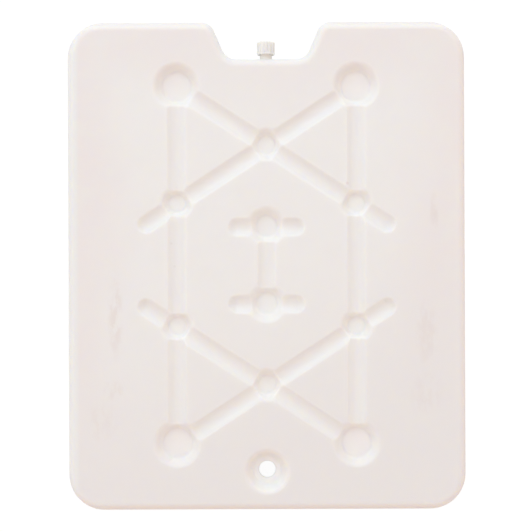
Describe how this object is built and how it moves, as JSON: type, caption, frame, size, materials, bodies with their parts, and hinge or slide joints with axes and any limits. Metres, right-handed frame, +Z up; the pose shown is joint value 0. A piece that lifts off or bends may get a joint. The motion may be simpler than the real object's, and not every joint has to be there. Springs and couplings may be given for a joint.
{
  "type": "reusable ice pack",
  "caption": "Flat off-white freeze board with recessed strengthening grooves and discs, a hanging hole and a notch that shelters its capped filler neck.",
  "frame": {"origin": "middle of the board's outline, on the plane that its back lies on", "axes": "+Z up out of the board's face, +Y along its length towards the filler, +X across it"},
  "size_m": [0.25, 0.307, 0.016],
  "materials": {
    "board_shell": "satin blow-moulded polyethylene, off-white, slightly see-through at thin edges",
    "cap_plastic": "satin injection-moulded polyethylene, off-white"
  },
  "bodies": {
    "root": {"pack_body": "board_shell", "filler_cap": "cap_plastic"}
  },
  "joints": []
}
